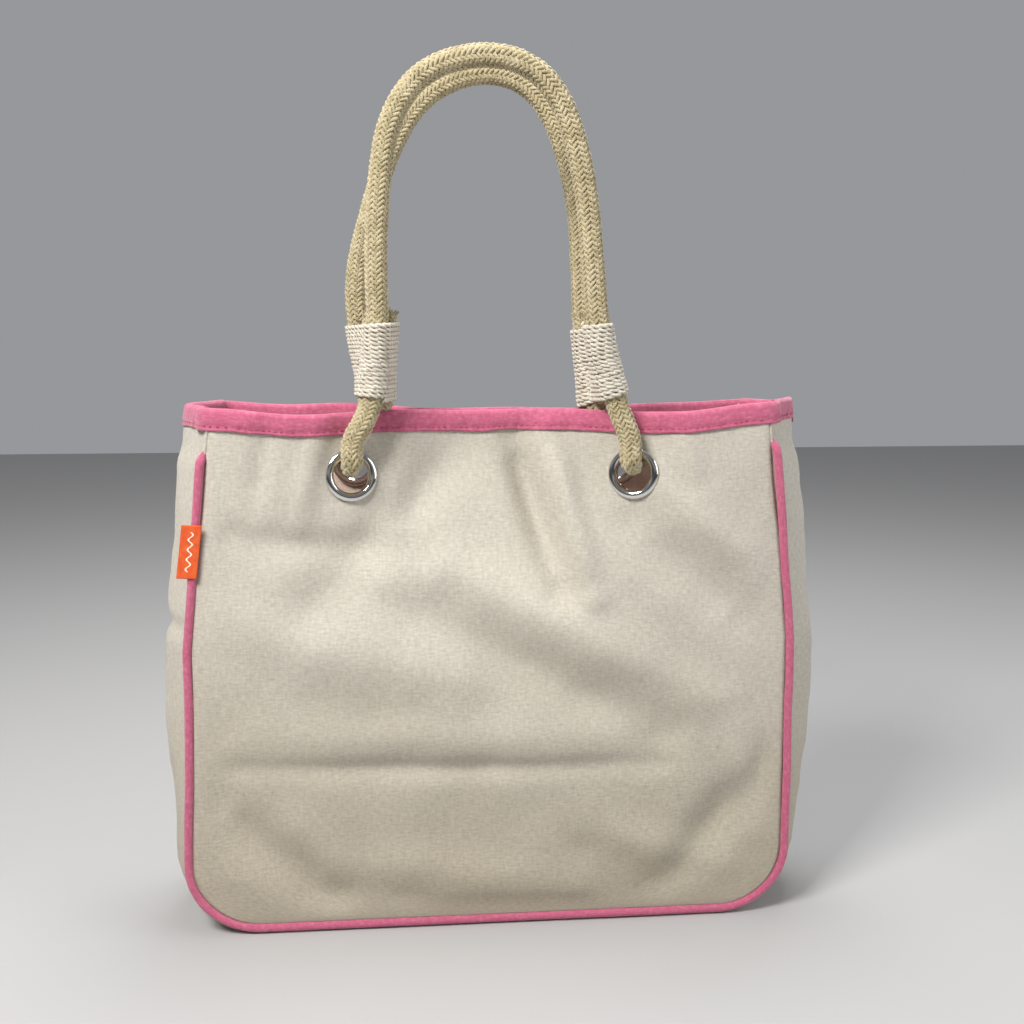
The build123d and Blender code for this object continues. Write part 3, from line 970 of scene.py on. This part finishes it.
# whippings: twisted twine wound round the rope and its tail
whip = {"low": 0.3475, "high": 0.396, "inset": 0.001, "margin": 0.004, "turns": 17.5, "perTurn": 60,
        "twine": 0.00188, "strand": 0.00114, "strands": 2, "twist": 0.0098, "step": 0.0011, "rope": 0.0062,
        "lean": {-1: -0.14, 1: 0.36}, "lower": {(1, 1): 0.0045, (1, -1): 0.0010}}


def whipLine(line, side, hand):
    half = len(line) // 2
    part = line[:half] if hand < 0 else line[half:][::-1]
    # the tail comes first on the way in, the main rope last
    lowest = min(range(len(part)), key=lambda k: part[k].z)
    bottom, top = whip["low"] - whip["margin"], whip["high"] + whip["margin"]
    tail = [p for p in part[:lowest] if bottom < p.z < top]
    main = [p for p in part[lowest:] if bottom < p.z < top]

    def at(points, z):
        return min(points, key=lambda p: abs(p.z - z))

    around = []
    turns = whip["turns"]
    steps = int(turns * whip["perTurn"])
    pad = whip["rope"] + whip["twine"]
    for k in range(steps + 1):
        t = k / steps
        angle = t * turns * math.tau
        z = whip["low"] + whip["inset"] + (whip["high"] - whip["low"] - 2 * whip["inset"]) * t
        z -= whip["lower"].get((side, hand), 0)
        a, b = at(main, z), at(tail, z)
        span = Vector((b.x - a.x, b.y - a.y, 0))
        # walk round the outline of the two ropes side by side
        straight = span.length
        total = 2 * straight + math.tau * pad
        walk = (angle / math.tau % 1) * total
        ahead = span.normalized()
        left = Vector((-ahead.y, ahead.x, 0))
        if walk < straight:
            p = a + ahead * walk - left * pad
        elif walk < straight + math.pi * pad:
            turn = (walk - straight) / pad - math.pi / 2
            p = b + (ahead * math.cos(turn) + left * math.sin(turn)) * pad
        elif walk < 2 * straight + math.pi * pad:
            p = b - ahead * (walk - straight - math.pi * pad) + left * pad
        else:
            turn = (walk - 2 * straight - math.pi * pad) / pad + math.pi / 2
            p = a + (ahead * math.cos(turn) + left * math.sin(turn)) * pad
        drift = 0.0004 * noise.noise(Vector((t * 9, side * 3.0, hand * 5.0)))
        lean = whip["lean"][hand] * (1 - t) ** 1.2 * (p.x - (a.x + b.x) / 2)
        around.append(Vector((p.x, p.y, z + drift + lean)))
    return around


def makeWhippings(lines):
    for side, word in sides:
        for hand, place in hands:
            line = smoothed(evenly(whipLine(lines[side], side, hand), whip["step"]), 2)
            frames = lineFrames(line, (0, 0, 1))
            spacing = (line[1] - line[0]).length
            yarns = []
            for k in range(whip["strands"]):
                yarn = []
                for n, (point, (across, up)) in enumerate(zip(line, frames)):
                    angle = n * spacing / whip["twist"] * math.tau + k * math.pi
                    yarn.append(point + (across * math.cos(angle) + up * math.sin(angle)) *
                                (whip["twine"] - whip["strand"]))
                yarns.append(yarn)
            piece = yarnMesh(f"{word}{place.capitalize()}Whipping", yarns, whip["strand"], 0, twineYarn)
            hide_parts(f"{word}_{place}_whipping")
            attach(piece, f"{word}_handle")


def smoothed(line, times):
    for _ in range(times):
        between = [(a + b * 2 + c) / 4 for a, b, c in zip(line, line[1:], line[2:])]
        line = [line[0]] + between + [line[-1]]
    return line


# label
label = {"low": 0.2385, "high": 0.2720, "reach": 0.0125, "thick": 0.0009, "ply": 0.00025, "lean": 0.03}


def makeLabel():
    middle = (label["low"] + label["high"]) / 2
    front = -(seamDepth(middle) + piping["radius"] + 0.0003)

    def place(u, v):
        t = (u + 1) / 2     # 0 at the seam, round the fold at 0.5, back to the seam at 1
        reach = 1 - abs(2 * t - 1)
        layer = 1 if t > 0.5 else -1
        fold = math.sqrt(max(0, 1 - max(0, (reach - 0.94) / 0.06) ** 2))
        bow = 0.0006 * math.sin(math.pi * v) + 0.0009 * reach ** 2
        z = label["low"] + (label["high"] - label["low"]) * v
        inner = -(seamHalf(z) - 0.0006) - label["lean"] * (middle - z)
        return Vector((inner - label["reach"] * reach,
                       front + bow + layer * fold * label["thick"] / 2 - 0.0003, z + 0.0004 * reach))

    piece = clothGrid("wovenLabel", 60, 40, place, (label["reach"] * 2, label["high"] - label["low"]),
                      labelCloth, "label", label["ply"], lambda place: Vector((0, place.y - front, 0)))
    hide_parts("woven_label")
    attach(piece, "label")


# press stud inside the middle of the mouth, its profile as (radius, height)
stud = {"height": 0.311, "sunk": 0.0004, "segments": 48,
        "profile": [(0.0, 0.0016), (0.003, 0.0017), (0.0055, 0.0015), (0.0062, 0.0009), (0.0082, 0.0008),
                    (0.0090, 0.0004), (0.0090, 0.0), (0.0, 0.0)]}


def makeStuds():
    for side, word in sides:
        seat = wallPoint(side, 0, stud["height"], -layers - stud["sunk"])
        turn = Vector((0, -side, 0)).to_track_quat("Z", "X").to_matrix().to_4x4()
        turnedPiece(f"{word}PressStud", stud["profile"], False, stud["segments"],
                    Matrix.Translation(seat) @ turn, f"{word}_wall", [f"{word}_press_stud"])


makeBindings()
makePiping()
print("tape and piping made")
ropeLines = makeRopes()
makeWhippings(ropeLines)
print("ropes and whippings made")
makeLabel()
makeStuds()


# floor, light and camera
view = {"place": (-0.0516, -0.7564, 0.391), "lens": 40.25, "yaw": 5.0, "pitch": 9.03}
# place, what it points at, size, power and colour of each light
lights = {
    "keyLight": ((-0.60, -0.72, 1.20), (0, 0, 0.32), 0.40, 21, (1.0, 0.985, 0.965)),
    "fillLight": ((1.40, -0.60, 0.80), (0, 0, 0.25), 1.0, 10, (0.95, 0.97, 1.0)),
    "topLight": ((0.1, 0.3, 1.6), (0, 0, 0.2), 0.8, 13, (1.0, 1.0, 1.0)),
}
studio = {"floor": (0.47, 0.465, 0.46, 1), "floorRoughness": 0.8,
          "pale": (0.90, 0.92, 0.96), "strength": 0.34}


def makeStudio():
    bm = bmesh.new()
    bmesh.ops.create_grid(bm, x_segments=2, y_segments=2, size=3.0)
    mesh = bpy.data.meshes.new("studioFloor")
    bm.to_mesh(mesh)
    bm.free()
    floor = newObject("studioFloor", mesh)
    material, tree, shader = newMaterial("paleFloor")
    setInputs(shader, {"Base Color": studio["floor"], "Roughness": studio["floorRoughness"]})
    mesh.materials.append(material)
    world = bpy.data.worlds.new("studio")
    bpy.context.scene.world = world
    world.use_nodes = True
    tree = world.node_tree
    # pale behind the bag, banded darker on the camera's side so the nickel has something to mirror
    parts = tree.nodes.new("ShaderNodeSeparateXYZ")
    tree.links.new(addNode(tree, "ShaderNodeTexCoord").outputs["Generated"], parts.inputs[0])
    bands = colourRamp(tree, [(0.30, (0.50, 0.50, 0.50)), (0.47, (0.16, 0.16, 0.17)),
                              (0.56, (0.22, 0.22, 0.24)), (0.62, (0.95, 0.95, 0.97)),
                              (0.72, (0.30, 0.30, 0.33)), (1.0, (0.95, 0.97, 1.0))])
    tree.links.new(mathNode(tree, "MULTIPLY_ADD", parts.outputs[2], 0.5, 0.5), bands.inputs[0])
    behind = mathNode(tree, "GREATER_THAN", parts.outputs[1], -0.15)
    seen = tree.nodes.new("ShaderNodeLightPath").outputs["Is Camera Ray"]
    towards = mathNode(tree, "MAXIMUM", behind, seen)
    tone = mixColour(tree, "MIX", towards, bands.outputs[0], studio["pale"])
    background = tree.nodes["Background"]
    tree.links.new(tone, background.inputs[0])
    background.inputs[1].default_value = studio["strength"]
    for name, (place, aim, size, power, colour) in lights.items():
        lamp = bpy.data.lights.new(name, "AREA")
        lamp.size, lamp.energy, lamp.color = size, power, colour
        holder = newObject(name, lamp)
        holder.location = place
        holder.rotation_euler = (Vector(aim) - Vector(place)).to_track_quat("-Z", "Y").to_euler()
    camera = bpy.data.cameras.new("camera")
    camera.lens, camera.sensor_width, camera.clip_start = view["lens"], 36, 0.01
    holder = newObject("camera", camera)
    holder.location = view["place"]
    holder.rotation_euler = (math.radians(90 - view["pitch"]), 0, math.radians(-view["yaw"]))
    bpy.context.scene.camera = holder
    bpy.context.scene.view_settings.view_transform = "Standard"


makeStudio()
print("studio made")
